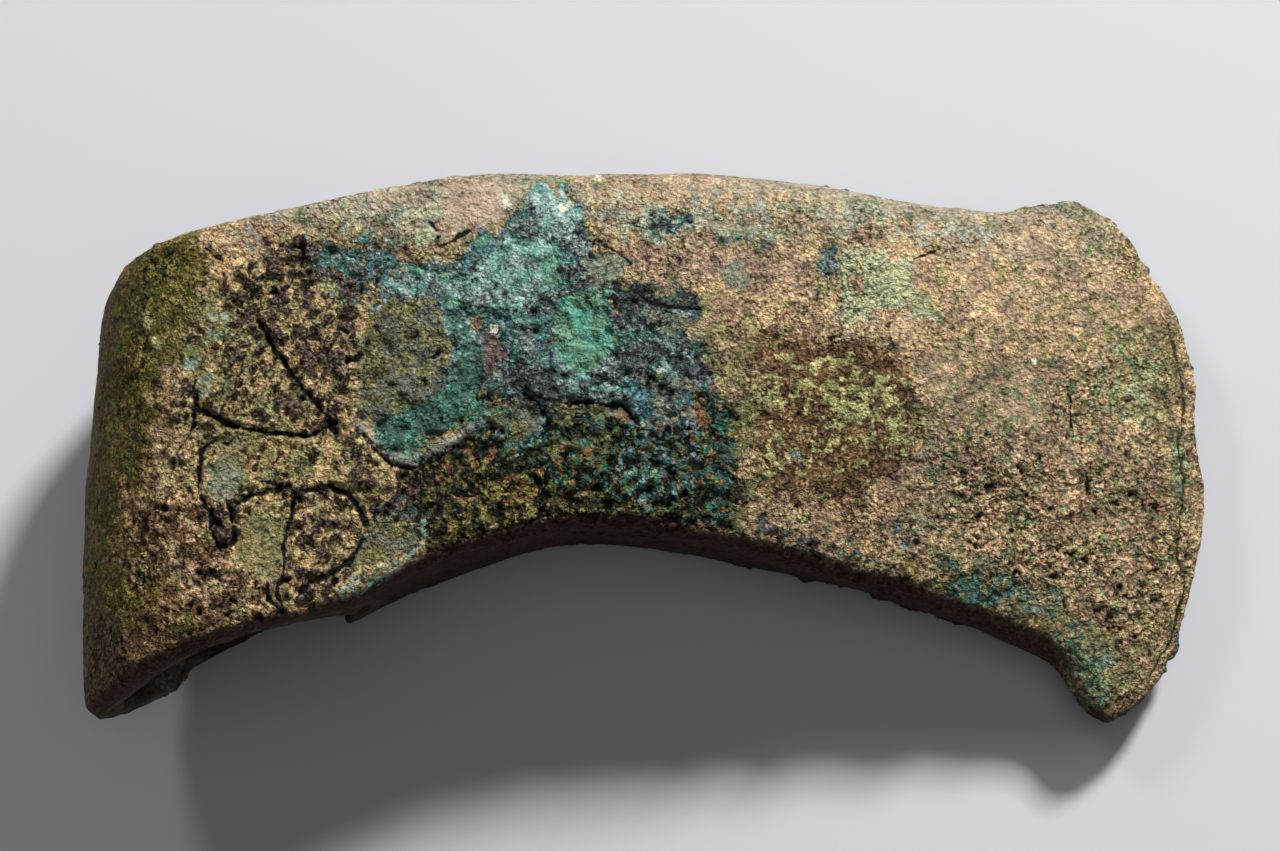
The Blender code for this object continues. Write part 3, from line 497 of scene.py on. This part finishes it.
def gradient_noise(points, size, seed):
    """Smooth noise from about -1 to 1 with lumps of the given size in mm."""
    place = points / (size * MM) + seed * NOISE_STRIDE
    corner = np.floor(place).astype(np.int64)
    inner = place - corner
    blend = inner ** 3 * (inner * (inner * 6 - 15) + 10)
    total = np.zeros(len(points))
    for steps in product((0, 1), repeat=3):
        code = lattice_code(corner + steps, seed)
        weight = 1.0
        slope = 0.0
        for axis, step in enumerate(steps):
            weight = weight * (blend[:, axis] if step else 1 - blend[:, axis])
            slope = slope + (ten_bits(code, axis) / (TEN_BITS / 2) - 1) * (inner[:, axis] - step)
        total += weight * slope
    return total * NOISE_GAIN


def layered_noise(points, size, layers, seed):
    """Noise with finer and weaker layers on top."""
    total = np.zeros(len(points))
    strength = 1.0
    for layer in range(layers):
        total += strength * gradient_noise(points, size / 2 ** layer, seed + layer)
        strength *= LAYER_LOSS
    return total


def named_noise(points, name):
    """The noise that NOISES describes under a name."""
    return layered_noise(points, *NOISES[name])


def nearest_grain(points, name):
    """Distance in mm to the nearest of the scattered grains that GRAINS describes under a name."""
    size, seed, share = GRAINS[name]
    place = points / (size * MM) + seed * GRAIN_STRIDE
    corner = np.floor(place).astype(np.int64)
    inner = place - corner
    nearest = np.full(len(points), 4.0)
    for steps in product((-1, 0, 1), repeat=3):
        code = lattice_code(corner + steps, seed)
        gap = 0.0
        for axis, step in enumerate(steps):
            gap = gap + (step + ten_bits(code, axis) / TEN_BITS - inner[:, axis]) ** 2
        held = (code >> 8 & 255) / 255 < share
        nearest = np.where(held, np.minimum(nearest, gap), nearest)
    return np.sqrt(nearest) * size


def photo_place(points):
    """Where points fall on the photograph, in pixels."""
    across = CAMERA_UP.cross(CAMERA_BACK)
    seen = points - np.array(CAMERA_FOCUS + CAMERA_BACK * CAMERA_DISTANCE)
    depth = -(seen @ np.array(CAMERA_BACK))
    focal = IMAGE_WIDTH * LENS / SENSOR
    u = IMAGE_WIDTH / 2 + focal * (seen @ np.array(across)) / depth
    v = IMAGE_HEIGHT / 2 - focal * (seen @ np.array(CAMERA_UP)) / depth
    return np.column_stack((u, v))


def line_distance(places, flat, closed):
    """Distance in pixels from each place to a line, and whether a closed line holds it."""
    corners = np.reshape(flat, (-1, 2))
    nearest = np.full(len(places), 1e9)
    inside = np.zeros(len(places), bool)
    count = len(corners) if closed else len(corners) - 1
    for i in range(count):
        ax, ay = corners[i]
        bx, by = corners[(i + 1) % len(corners)]
        along = np.array((bx - ax, by - ay), float)
        away = places - (ax, ay)
        share = np.clip(away @ along / (along @ along), 0, 1)
        gap = away - share[:, None] * along
        nearest = np.minimum(nearest, (gap ** 2).sum(1))
        if closed:
            crosses = (ay > places[:, 1]) != (by > places[:, 1])
            level = (places[:, 1] - ay) / (by - ay) if by != ay else 0
            inside ^= crosses & (places[:, 0] < ax + level * (bx - ax))
    return np.sqrt(nearest), inside


def depth_inside(places, flat):
    """How many pixels each place lies inside a closed line, less than zero outside it."""
    distance, inside = line_distance(places, flat, True)
    return np.where(inside, distance, -distance)


def near_places(places, flat, margin):
    """Which places lie within a margin of the box around some corners."""
    corners = np.reshape(flat, (-1, 2))
    low = corners.min(0) - margin
    high = corners.max(0) + margin
    return np.flatnonzero(((places > low) & (places < high)).all(1))


def empty_fields(kinds, points):
    """For each kind, a field that lies far outside everywhere."""
    return {kind: np.full(len(points), -float(FIELD_REACH)) for kind in kinds}


def patch_fields(points, places):
    """For each kind of patina, how many pixels each point lies inside its patches and spots."""
    wander = np.column_stack([named_noise(points, wide) + 0.6 * named_noise(points, close)
                              for wide, close in (("sway_u", "shake_u"), ("sway_v", "shake_v"))])
    ragged = named_noise(points, "ragged") + 0.9 * named_noise(points, "ragged_wide")
    fields = empty_fields(KINDS, points)
    flakes = {}
    whole = [(kind, 0, 1, flat) for kind, shapes in WHOLE_PATCHES.items() for flat in shapes]
    for kind, grain, share, flat in whole + FLAKED_PATCHES:
        reach, rough = KINDS[kind][:2]
        held = near_places(places, flat, FIELD_REACH + 2 * reach)
        field = depth_inside(places[held] + wander[held] * reach, flat) + ragged[held] * rough
        if grain:
            if (grain, kind) not in flakes:
                flakes[grain, kind] = layered_noise(points, grain, 2, FLAKE_SEED + len(flakes))
            flake = flakes[grain, kind][held]
            level = 0.9 * (0.5 - share)
            field = np.minimum(field, (flake - level) * FLAKE_SLOPE * grain)
        fields[kind][held] = np.maximum(fields[kind][held], field)
    for kind, x, y, wide, high, turn in SPOTS:
        held = near_places(places, (x, y), FIELD_REACH + max(wide, high) * 2)
        moved = places[held] - (x, y) + wander[held] * min(wide, high) * SPOT_WANDER
        c, s = math.cos(math.radians(turn)), math.sin(math.radians(turn))
        along = (moved[:, 0] * c + moved[:, 1] * s) / wide
        over = (moved[:, 1] * c - moved[:, 0] * s) / high
        field = (1 - np.hypot(along, over)) * min(wide, high)
        fields[kind][held] = np.maximum(fields[kind][held], field)
    return fields


def line_fields(points, places):
    """For each kind of line, how far inside it each point lies, and the depth that the lines add."""
    wander = np.column_stack((named_noise(points, "line_u"), named_noise(points, "line_v")))
    pinch = 1.15 + 0.85 * named_noise(points, "pinch")
    fields = empty_fields(LINES, points)
    depth = np.zeros(len(points))
    for kind, lines in LINES.items():
        for half_width, deep, flat in lines:
            held = near_places(places, flat, FIELD_REACH)
            distance, _ = line_distance(places[held] + wander[held] * LINE_WANDER, flat, False)
            width = half_width * pinch[held]
            fields[kind][held] = np.maximum(fields[kind][held], width - distance)
            profile = np.exp(-(distance / (width * 1.25)) ** 2)
            cut = depth[held]
            depth[held] = np.where(np.abs(deep * profile) > np.abs(cut), -deep * profile, cut)
    return fields, depth


def all_fields(points, places, near):
    """Fields of patches and lines on the side that the photograph shows, and of noise patches behind."""
    patches = patch_fields(points, places)
    lines, line_depth = line_fields(points, places)
    for fields in (patches, lines):
        for kind in fields:
            fields[kind] = fields[kind] * near - FIELD_REACH * (1 - near)
    for kind, (size, level) in HIDDEN_PATCHES.items():
        noise = layered_noise(points, size, 3, HIDDEN_SEED + len(kind))
        hidden = (noise - level) * size * HIDDEN_SLOPE * (1 - near) - FIELD_REACH * near
        patches[kind] = np.maximum(patches[kind], hidden)
    return patches, lines, line_depth * near


def hole_share(points):
    """How far each point belongs to the wall of the shaft hole, from 0 to 1."""
    axis = np.array(HOLE_AXIS)
    away = points - HOLE_FOOT
    away = away - (away @ axis)[:, None] * axis
    reach = np.hypot(away[:, 0] / HOLE_HALF_WIDTH, away[:, 2] / HOLE_HALF_HEIGHT)
    return 1 - ease(reach, 1.10, 1.22)


def broken_share(points, places):
    """How far each point belongs to the broken edge of the far socket wall, from 0 to 1."""
    low = 1 - ease(points[:, 2], BREAK_TOP - 2 * MM, BREAK_TOP)
    return ease(depth_inside(places, BREAK_CORNERS), -4, 4) * low


def zone_share(places, zones):
    """How strongly each place belongs to the zones, from 0 to 1, with soft borders."""
    total = np.zeros(len(places))
    for share, flat in zones:
        total = np.maximum(total, share * ease(depth_inside(places, flat), -16, 12))
    return total


def crumb_shares(inside, near, hole, under, places):
    """How rough each point's crumb is against the plain crust, and how far it is in a smooth patch."""
    crumb = np.ones(len(places))
    smooth_patch = np.zeros(len(places))
    for kind, (_, _, _, rough) in KINDS.items():
        crumb += (rough - crumb) * inside[kind]
        if rough <= SMOOTH_CRUMB and kind != "olive_moss":
            smooth_patch = np.maximum(smooth_patch, inside[kind])
    crumb *= (1 - 0.75 * under) * (1 - 0.55 * hole) * (0.65 + 0.35 * near)
    crumb *= 1 - zone_share(places, CALM_ZONES) * near
    return crumb, smooth_patch


def crust_crumbs(points, facing, crumb):
    """The crust's crumbs and pits in mm, and the coarse noise in them."""
    coarse = named_noise(points, "coarse")
    fine = named_noise(points, "fine") + 0.6 * named_noise(points, "finest")
    rough_zone = ease(named_noise(points, "rough_zone"), -0.35, 0.45)
    grain = nearest_grain(points, "grain")
    pit = nearest_grain(points, "pit")
    crumbs = CRUMB_HEIGHT * coarse + CRUMB_HEIGHT * fine
    crumbs += GRAIN_HEIGHT * (np.clip(1 - grain / GRAIN_RADIUS, 0, 1) - 0.25)
    crumbs *= 0.50 + 0.70 * rough_zone
    crumbs -= (0.25 + 0.30 * rough_zone) * ease(-pit, -PIT_RADIUS, -PIT_FLOOR)
    turned = 0.45 + 0.55 * ease(np.abs(facing), 0.15, 0.55)
    crumbs *= crumb * turned
    return crumbs, coarse


def stepped(field, edge):
    """Whole numbers of a field, with a slope from the given share of each step on."""
    return np.floor(field) + ease(field % 1, edge, 1.0)


def ledges(points):
    """The steps that scale breaks off in, and the noise that they are cut from."""
    flake = named_noise(points, "flake")
    terrace = stepped(flake * 4, 0.72) / 4
    terrace += 0.35 * stepped(named_noise(points, "chip") * 3, 0.65) / 3
    return terrace, flake


def nodules(points, warped, crowding, lumpy):
    """How far each point is up a dark nodule, and how dark that nodule is, both from 0 to 1."""
    clump = ease(named_noise(points, "clump") + 1.1 * crowding, 0.05, 0.85)
    top = np.zeros(len(points))
    for name in ("nodule", "small_nodule"):
        radius = GRAINS[name][0] * (0.16 + 0.34 * clump)
        away = nearest_grain(warped, name) / radius
        top = np.maximum(top, np.sqrt(np.clip(1 - away * away, 0, 1)))
    top *= lumpy * ease(crowding, 0.05, 0.3) * ease(clump, 0.02, 0.3)
    return top, ease(named_noise(points, "darkened") + 1.1 * crowding, 0.05, 0.55)


def craters(warped, pocked):
    """How far each point is up a crater's rim and down in a crater."""
    dent = nearest_grain(warped, "dent")
    size = 0.30 + 0.35 * pocked
    rim = np.exp(-((dent - size - 0.22) / 0.20) ** 2) * pocked
    return rim, ease(-dent, -size, -0.35 * size) * pocked


def creases(points, under, hole):
    """How far each point is in one of the fine creases."""
    crease = 0.035 - np.abs(named_noise(points, "crease"))
    zone = ease(named_noise(points, "crease_zone"), 0.05, 0.4) * (1 - under) * (1 - hole)
    return ease(crease, -0.03, 0.035) * zone


def moved_points(points, normals, height):
    """The points moved out by a height in mm, with those that the head rests on kept at the floor."""
    grounded = 0.3 + 0.7 * ease(points[:, 2], REST_ZONE, 2.5 * MM)
    shift = np.clip(height * grounded, -DEEPEST, HIGHEST) * MM
    moved = points + normals * shift[:, None]
    resting = points[:, 2] < REST_ZONE
    moved[:, 2] = np.maximum(moved[:, 2], 0)
    moved[resting, 2] = np.maximum(np.minimum(moved[resting, 2], points[resting, 2] + REST_GIVE), 0)
    return moved


def vertex_values(mesh, name):
    """The positions or normals of a mesh's vertices as an array."""
    flat = np.empty(len(mesh.vertices) * 3)
    mesh.vertices.foreach_get(name, flat)
    return flat.reshape(-1, 3)


def surface_mesh(node):
    """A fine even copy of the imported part's surface."""
    copy = bpy.data.objects.new("fine_copy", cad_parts[node].data.copy())
    bpy.context.collection.objects.link(copy)
    remesh = copy.modifiers.new("even", "REMESH")
    remesh.mode = "VOXEL"
    remesh.voxel_size = VOXEL
    smooth = copy.modifiers.new("soften", "SMOOTH")
    smooth.iterations = SMOOTHING_ROUNDS
    smooth.factor = 0.5
    graph = bpy.context.evaluated_depsgraph_get()
    mesh = bpy.data.meshes.new_from_object(copy.evaluated_get(graph))
    bpy.data.objects.remove(copy)
    return mesh


def thinned_head(mesh):
    """The axe head's object, with the mesh thinned to TRIANGLES triangles."""
    head = bpy.data.objects.new("axe_head_crust", mesh)
    bpy.context.collection.objects.link(head)
    thin = head.modifiers.new("thin", "DECIMATE")
    thin.ratio = TRIANGLES / (2 * len(mesh.polygons))
    thin.use_collapse_triangulate = True
    graph = bpy.context.evaluated_depsgraph_get()
    final = bpy.data.meshes.new_from_object(head.evaluated_get(graph))
    head.modifiers.clear()
    head.data = final
    final.name = "axe_head_crust"
    return head


def hand_over(values, places, mesh):
    """Stores on each vertex the values of the nearest place, where the material can read them."""
    tree = kdtree.KDTree(len(places))
    for i, place in enumerate(places):
        tree.insert(place, i)
    tree.balance()
    source = np.array([tree.find(place)[1] for place in vertex_values(mesh, "co")])
    for name, value in values.items():
        layer = mesh.attributes.new(name, "FLOAT", "POINT")
        layer.data.foreach_set("value", np.asarray(value[source], dtype=np.float32))


def dress():
    """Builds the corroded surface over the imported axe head, and its patina values."""
    mesh = surface_mesh("axe_head")
    points = vertex_values(mesh, "co")
    normals = vertex_values(mesh, "normal")
    places = photo_place(points)
    facing = normals @ np.array(CAMERA_BACK)
    # The shaft hole's wall, which the material paints in darker tones as painted shade
    hole = hole_share(points)
    near = ease(facing, -0.20, 0.10) * (1 - hole)
    behind = ease(-facing, 0.30, 0.65)
    # The underside, facing away from the key lamp, which the material paints in darker tones as painted
    # shade
    under = ease(-normals[:, 1], 0.35, 0.80) * (1 - hole)

    patches, lines, line_depth = all_fields(points, places, near)
    inside = {kind: ease(patches[kind], -2.0, 2.0) for kind in patches}
    crumb, smooth_patch = crumb_shares(inside, near, hole, under, places)
    crumbs, coarse = crust_crumbs(points, facing, crumb)
    terrace, flake = ledges(points)
    flaky = np.maximum(np.maximum(inside["slate"], inside["soot"]), 0.8 * inside["moss"])
    warp = np.column_stack([named_noise(points, name) for name in ("warp_x", "warp_y", "warp_z")])
    warped = points + WARP_REACH * warp
    lumpy = ease(patches["peach"], -6, 6) * (1 - smooth_patch)
    crowding = zone_share(places, NODULE_ZONES) * near + 0.4 * behind
    nodule, darkened = nodules(points, warped, crowding, lumpy)
    pocked = zone_share(places, CRATER_ZONES) * near + 0.3 * behind
    pocked *= crumb * (1 - under) * (1 - hole)
    crater_rim, crater = craters(warped, pocked)
    crease = creases(points, under, hole)

    height = SWELL_HEIGHT * named_noise(points, "swell") + crumbs + NODULE_HEIGHT * nodule
    height += LUMP_HEIGHT * lumpy * coarse
    height += LEDGE_HEIGHT * terrace * flaky + line_depth - CREASE_DEPTH * crease * crumb
    height += RIM_HEIGHT * crater_rim - CRATER_DEPTH * crater
    for kind, (_, _, proud, _) in KINDS.items():
        height += proud * inside[kind]
    moved = moved_points(points, normals, height)
    mesh.vertices.foreach_set("co", moved.ravel())

    stain = np.zeros(len(points))
    for kind in ("slate", "teal", "viridian", "malachite"):
        stain = np.maximum(stain, ease(patches[kind] + 9 * coarse, -17, 1))
    # The relief is stored for the material, which paints its hollows darker and its tops lighter: painted
    # shade and light
    relief = 0.8 * crumbs + 0.12 * nodule + 0.5 * line_depth - 0.2 * crease
    relief += 0.10 * crater_rim - 0.40 * crater
    relief += 0.20 * (terrace - flake) * flaky
    values = {"relief": np.clip(relief / RELIEF_SPAN, -1, 1), "nodule": nodule * darkened,
              "under": under, "stain": stain, "hole": hole, "broken": broken_share(points, places),
              "crumb": crumb, "smooth_patch": smooth_patch}

    head = thinned_head(mesh)
    hand_over({**values, **patches, **lines}, moved, head.data)
    settled = vertex_values(head.data, "co")
    settled[:, 2] = np.maximum(settled[:, 2], 0)
    head.data.vertices.foreach_set("co", settled.ravel())
    head.data.shade_smooth()
    return head


def tone(red, green, blue):
    """A display colour as the linear colour that shaders use."""
    out = []
    for value in (red, green, blue):
        share = value / 255
        out.append(share / 12.92 if share <= 0.04045 else ((share + 0.055) / 1.055) ** 2.4)
    return (*out, 1)


class Shader:
    """Short names for building one material's nodes."""

    def __init__(self, name):
        self.material = bpy.data.materials.new(name)
        self.material.use_nodes = True
        self.tree = self.material.node_tree
        self.surface = self.tree.nodes["Principled BSDF"]
        self.place = self.tree.nodes.new("ShaderNodeTexCoord").outputs["Object"]

    def put(self, socket, value):
        """Links a socket to another, or sets it to a number or colour."""
        if isinstance(value, bpy.types.NodeSocket):
            self.tree.links.new(value, socket)
        else:
            socket.default_value = value

    def node(self, kind, inputs, **settings):
        """A new node with its settings and its inputs."""
        node = self.tree.nodes.new("ShaderNode" + kind)
        for name, value in settings.items():
            setattr(node, name, value)
        for name, value in inputs.items():
            self.put(node.inputs[name], value)
        return node

    def math(self, operation, *inputs):
        return self.node("Math", dict(enumerate(inputs)), operation=operation).outputs[0]

    def times(self, first, second):
        return self.math("MULTIPLY", first, second)

    def scaled(self, value, factor, offset):
        """A value times a factor, plus an offset."""
        return self.math("MULTIPLY_ADD", value, factor, offset)

    def value(self, name):
        """One of the values stored on the mesh."""
        return self.node("Attribute", {}, attribute_name=name).outputs["Fac"]

    def noise(self, name):
        """The noise that GRAIN_NOISES describes under a name."""
        size, detail, roughness, seed = GRAIN_NOISES[name]
        aside = (0.137 * seed, -0.071 * seed, 0.053 * seed)
        place = self.node("VectorMath", {0: self.place, 1: aside}, operation="ADD").outputs[0]
        return self.node("TexNoise", {"Vector": place, "Scale": 1 / (size * MM), "Detail": detail,
                                      "Roughness": roughness}).outputs["Fac"]

    def bent_place(self, size, reach):
        """Places shifted by a noise of the given size and reach in mm."""
        noise = self.node("TexNoise", {"Vector": self.place, "Scale": 1 / (size * MM), "Detail": 2})
        shifted = {0: noise.outputs["Color"], 1: (reach * MM,) * 3, 2: self.place}
        return self.node("VectorMath", shifted, operation="MULTIPLY_ADD").outputs[0]

    def cells(self, size, place):
        """Distance to the middle of the nearest cell of the given size in mm, and the cell's colour."""
        node = self.node("TexVoronoi", {"Vector": place, "Scale": 1 / (size * MM)})
        return node.outputs["Distance"], node.outputs["Color"]

    def step(self, value, low, high, bottom=0.0, top=1.0):
        """Smooth step of a value from bottom at low to top at high."""
        ends = {"Value": value, "From Min": low, "From Max": high, "To Min": bottom, "To Max": top}
        return self.node("MapRange", ends, interpolation_type="SMOOTHSTEP").outputs["Result"]

    def ramp(self, value, stops):
        """A colour ramp with the given stops."""
        node = self.node("ValToRGB", {"Fac": value})
        elements = node.color_ramp.elements
        elements[0].position, elements[0].color = stops[0]
        elements[1].position, elements[1].color = stops[-1]
        for position, color in stops[1:-1]:
            elements.new(position).color = color
        return node.outputs["Color"]

    def mix(self, share, first, second, blend="MIX"):
        """The second colour laid over the first."""
        node = self.node("Mix", {}, data_type="RGBA", blend_type=blend)
        for name, value in (("Factor", share), ("A", first), ("B", second)):
            self.put(node.inputs[name], value)
        return node.outputs["Result"]


def patina():
    """The corroded bronze: a ramp of tones for each kind, laid over one another by the stored fields."""
    s = Shader("corroded_bronze")
    relief = s.value("relief")
    fine = s.noise("fine")
    medium = s.noise("medium")
    broad = s.noise("broad")
    bent = s.bent_place(0.45, 0.55)
    away, tint = s.cells(0.58, bent)
    small_away, small_tint = s.cells(0.30, bent)
    dome = s.scaled(s.times(away, away), -3.0, 1.0)
    small_dome = s.scaled(s.times(small_away, small_away), -3.0, 1.0)
    grains = s.scaled(tint, 0.5, s.times(small_tint, 0.5))
    fold = s.step(s.math("ABSOLUTE", s.math("SUBTRACT", s.noise("fold"), 0.5)), 0.0, 0.045)
    rugged = s.times(s.step(broad, 0.36, 0.62, 0.55, 1.25), s.value("crumb"))
    edge_noise = s.scaled(grains, 0.3, s.math("SUBTRACT", s.noise("edge"), 0.65))
    parts = {"fine": fine, "medium": medium, "dome": dome, "small_dome": small_dome, "tint": tint,
             "small_tint": small_tint, "grains": grains, "fold": fold}

    def summed(shares, start):
        """The parts times their shares, all added to a start."""
        total = start
        for name, share in shares.items():
            total = s.scaled(parts[name], share, total)
        return total

    # The level that picks each ramp's tone follows the relief and the bump's noises: darker in hollows as
    # painted shade, lighter on tops as painted light, with the grains' random tint as their own colour
    grain_tint_and_shade = s.times(summed(GRAIN_TINT_AND_SHADE, GRAIN_START), s.scaled(rugged, 1.05, 0.55))
    level = s.scaled(relief, 0.22, s.scaled(medium, 0.5, 0.25))
    level = s.math("ADD", level, grain_tint_and_shade)
    second = s.times(s.step(s.scaled(grains, 0.10, s.noise("mottle")), 0.50, 0.62), 0.85)

    def ramp(tones):
        """The dark, middle and light of a set of tones, by the level of the crust."""
        return s.ramp(level, [(place, tone(*color)) for place, color in zip(RAMP_PLACES, tones)])

    def tones(kind):
        """A kind's ramp with flecks of the ramp around its second colour."""
        dark, middle, light, other = TONES[kind]
        pale = [min(255, value * 1.35 + 12) for value in other]
        deep = [value * 0.40 for value in other]
        return s.mix(second, ramp((dark, middle, light)), ramp((deep, other, pale)))

    clumps = s.step(s.scaled(grains, 0.12, s.noise("clumps")), 0.61, 0.67)
    clumps = s.times(clumps, s.step(broad, 0.40, 0.56))
    dusk = s.times(s.step(s.noise("dusk"), 0.46, 0.60), 0.6)
    color = tones("crust")
    for kind, soft, cover, fray in ORDER:
        if kind == "slate":
            for share, shade in ((dusk, DUSK_SHADE), (clumps, CLUMP_SHADE),
                                 (s.times(s.value("stain"), 0.55), STAIN_SHADE)):
                color = s.mix(share, color, tone(*shade), "MULTIPLY")
        field = s.scaled(edge_noise, fray, s.value(kind))
        color = s.mix(s.step(field, -soft, soft, 0.0, cover), color, tones(kind))
        if kind == "sage_dull":
            nodule = s.math("ADD", edge_noise, s.value("nodule"))
            color = s.mix(s.step(nodule, 0.12, 0.5), color, ramp(NODULE_TONES))
    # The underside and the shaft hole take darker tones here, painted shade; the broken rim takes its own
    # colour
    for name, shades in PLACE_TONES.items():
        color = s.mix(s.value(name), color, ramp(shades))
    # Cracks are drawn near black here: painted shade in their grooves
    for name, (shade, fray, low, high, cover) in LINE_TONES.items():
        field = s.scaled(edge_noise, fray, s.value(name))
        color = s.mix(s.step(field, low, high, 0.0, cover), color, tone(*shade))
    # Pits and the low parts of the relief are darkened here: painted shade in the hollows, besides the
    # pits' dents in the bump
    pit_away, _ = s.cells(1.25, s.bent_place(1.1, 0.6))
    pits = s.math("ADD", s.step(pit_away, 0.10, 0.24), s.step(broad, 0.56, 0.46, 0.0, 0.9))
    pits = s.math("MINIMUM", pits, 1.0)
    painted_pit_and_hollow_shade = s.times(s.step(relief, -1.0, -0.25, 0.42, 1.0), s.scaled(pits, 0.65, 0.35))
    color = s.mix(1.0, color, s.ramp(painted_pit_and_hollow_shade, [(0, (0, 0, 0, 1)), (1, (1, 1, 1, 1))]), "MULTIPLY")
    s.put(s.surface.inputs["Base Color"], color)

    s.surface.inputs["Specular IOR Level"].default_value = 0.12
    gloss = s.scaled(s.value("smooth_patch"), -0.12, 0.70)
    gloss = s.scaled(s.value("nodule"), -0.32, gloss)
    s.put(s.surface.inputs["Roughness"], s.scaled(fine, -0.12, gloss))

    parts["pits"] = pits
    rise = s.times(summed(BUMP_HEIGHTS, 0.0), s.scaled(rugged, 0.90, 0.25))
    bump = s.node("Bump", {"Distance": MM, "Strength": 1.0, "Height": rise})
    s.put(s.surface.inputs["Normal"], bump.outputs["Normal"])
    return s.material


def plain_floor():
    """A wide pale floor that the head lies on."""
    mesh = bpy.data.meshes.new("floor")
    corners = [(x * FLOOR_HALF, y * FLOOR_HALF, 0) for x, y in ((-1, -1), (1, -1), (1, 1), (-1, 1))]
    mesh.from_pydata(corners, [], [(0, 1, 2, 3)])
    floor = bpy.data.objects.new("floor", mesh)
    bpy.context.collection.objects.link(floor)
    s = Shader("pale_floor")
    s.surface.inputs["Base Color"].default_value = tone(*FLOOR_TONE)
    s.surface.inputs["Roughness"].default_value = 0.9
    mesh.materials.append(s.material)


def soft_light(name, place, size, power):
    """A square lamp that faces the head."""
    lamp = bpy.data.lights.new(name, "AREA")
    lamp.size = size
    lamp.energy = power
    holder = bpy.data.objects.new(name, lamp)
    bpy.context.collection.objects.link(holder)
    holder.location = place
    holder.rotation_mode = "QUATERNION"
    holder.rotation_quaternion = Vector(place).to_track_quat("Z", "Y")


def lights():
    """A soft key from beyond the arched back, weaker lamps beside and above it, and a dim room."""
    for lamp in LAMPS:
        soft_light(*lamp)
    world = bpy.data.worlds.new("room")
    world.use_nodes = True
    world.node_tree.nodes["Background"].inputs["Color"].default_value = (1, 1, 1, 1)
    world.node_tree.nodes["Background"].inputs["Strength"].default_value = ROOM_LIGHT
    bpy.context.scene.world = world
    bpy.context.scene.view_settings.view_transform = "Standard"


def camera():
    """The photograph's camera, looking down on the lying head."""
    data = bpy.data.cameras.new("camera")
    data.lens = LENS
    data.sensor_width = SENSOR
    holder = bpy.data.objects.new("camera", data)
    bpy.context.collection.objects.link(holder)
    across = CAMERA_UP.cross(CAMERA_BACK)
    turn = Matrix((across, CAMERA_UP, CAMERA_BACK)).transposed()
    holder.matrix_world = Matrix.Translation(CAMERA_FOCUS + CAMERA_BACK * CAMERA_DISTANCE) @ turn.to_4x4()
    bpy.context.scene.camera = holder


head = dress()
head.data.materials.clear()
head.data.materials.append(patina())
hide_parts("axe_head")
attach(head, "root")
plain_floor()
lights()
camera()
